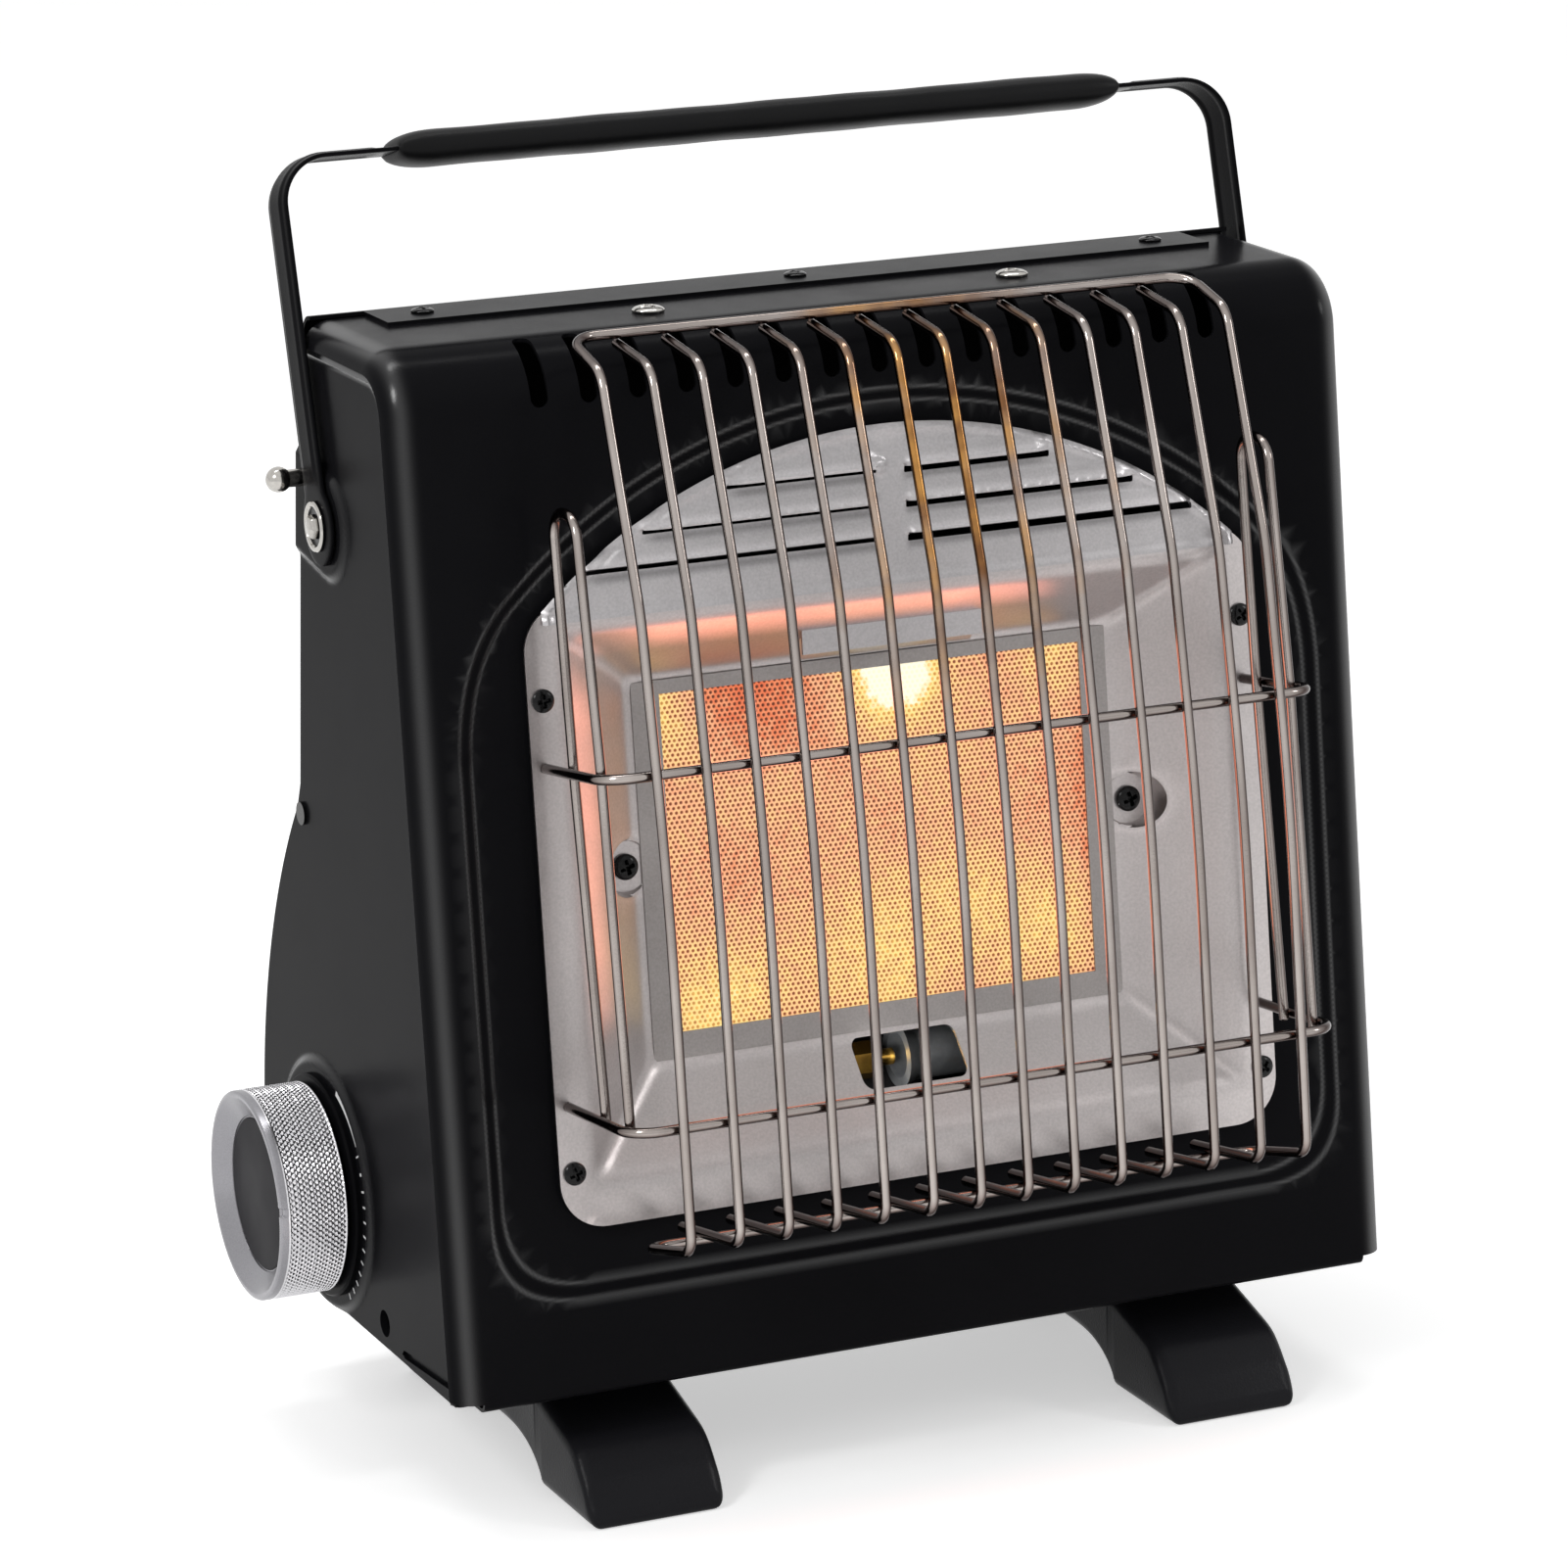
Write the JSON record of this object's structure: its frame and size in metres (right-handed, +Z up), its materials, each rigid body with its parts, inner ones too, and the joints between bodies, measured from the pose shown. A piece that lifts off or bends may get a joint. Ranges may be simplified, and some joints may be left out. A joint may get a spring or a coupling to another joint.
{
  "type": "portable propane heater",
  "caption": "Portable radiant gas heater: black sheet-steel cabinet with leaning front, ceramic burner behind a wire guard, bail handle, side knob, rear cartridge door and two feet.",
  "frame": {"origin": "on the ground under the middle of the whole heater's box", "axes": "+X to the heater's right as seen from the front, +Y to its back, +Z up"},
  "size_m": [0.291, 0.1831, 0.3348],
  "materials": {
    "cabinet_black": "satin black powder coat on sheet steel",
    "reflector_steel": "matt aluminised steel, dull silver",
    "burner_frame": "heat-dulled steel sheet",
    "glowing_ceramic": "perforated ceramic plaque, glowing orange",
    "mineral_gasket": "pressed mineral fibre",
    "sheet_steel": "plain aluminised sheet steel",
    "nozzle_brass": "turned brass",
    "pipe_copper": "drawn copper tube",
    "die_cast": "raw die casting",
    "cartridge_paint": "gloss painted tinplate, plain blue",
    "white_ceramic": "white glazed insulator",
    "white_plastic": "off-white plastic and silicone sleeve",
    "bright_steel": "bright zinc-plated steel",
    "black_screws": "black oxide screws",
    "knob_aluminium": "knurled, satin anodised aluminium",
    "knob_black": "smooth black plastic",
    "guard_wire": "polished stainless wire, tinted by heat in the middle",
    "strap_black": "satin black powder coat on strip steel",
    "grip_black": "smooth black sleeve",
    "foot_black": "satin black moulded plastic"
  },
  "bodies": {
    "cabinet": {"front_casing": "cabinet_black", "left_side_panel": "cabinet_black", "right_side_panel": "cabinet_black", "rear_cover": "cabinet_black", "base_plate": "cabinet_black", "reflector_pan": "reflector_steel", "arch_plate": "reflector_steel", "flame_deflector": "reflector_steel", "plaque_frame": "burner_frame", "ceramic_plaque": "glowing_ceramic", "plaque_gasket": "mineral_gasket", "burner_housing": "sheet_steel", "heat_shield": "sheet_steel", "top_baffle": "sheet_steel", "cartridge_cradle": "sheet_steel", "mixing_tube": "sheet_steel", "gas_nozzle": "nozzle_brass", "supply_pipe": "pipe_copper", "regulator_body": "die_cast", "gas_cartridge": "cartridge_paint", "electrode_insulator": "white_ceramic", "piezo_igniter": "white_plastic", "igniter_wire": "white_plastic", "door_hinge_pins": "bright_steel", "door_catch": "bright_steel", "spark_electrode": "bright_steel", "handle_pivot_screws": "bright_steel", "handle_pivot_nuts": "bright_steel", "handle_stop_pins": "bright_steel", "baffle_screws": "bright_steel", "foot_screws": "bright_steel", "flange_screws": "black_screws", "burner_screws": "black_screws", "rear_cover_screws": "black_screws", "knob_bezel": "knob_black", "guard_frame": "guard_wire", "guard_bars_left": "guard_wire", "guard_bars_middle": "guard_wire", "guard_bars_right": "guard_wire", "guard_upper_hoop": "guard_wire", "guard_lower_hoop": "guard_wire", "guard_side_loops": "guard_wire", "left_foot": "foot_black", "right_foot": "foot_black"},
    "handle": {"handle_strap": "strap_black", "handle_grip": "grip_black"},
    "knob": {"control_knob": "knob_aluminium", "knob_cap": "knob_black", "valve_stem": "bright_steel"},
    "door": {"cartridge_door": "cabinet_black"}
  },
  "joints": [
    {"name": "handle_swing", "type": "hinge", "parent": "cabinet", "child": "handle", "pos_m": [0, 0.02425, 0.242], "axis": [1, 0, 0], "range_deg": [0, 78]},
    {"name": "knob_turn", "type": "hinge", "parent": "cabinet", "child": "knob", "pos_m": [-0.1345, 0.04275, 0.0655], "axis": [-1, 0, 0], "range_deg": [-110, 20]},
    {"name": "door_swing", "type": "hinge", "parent": "cabinet", "child": "door", "pos_m": [0, 0.05066, 0.162], "axis": [1, 0, 0], "range_deg": [0, 70]}
  ]
}
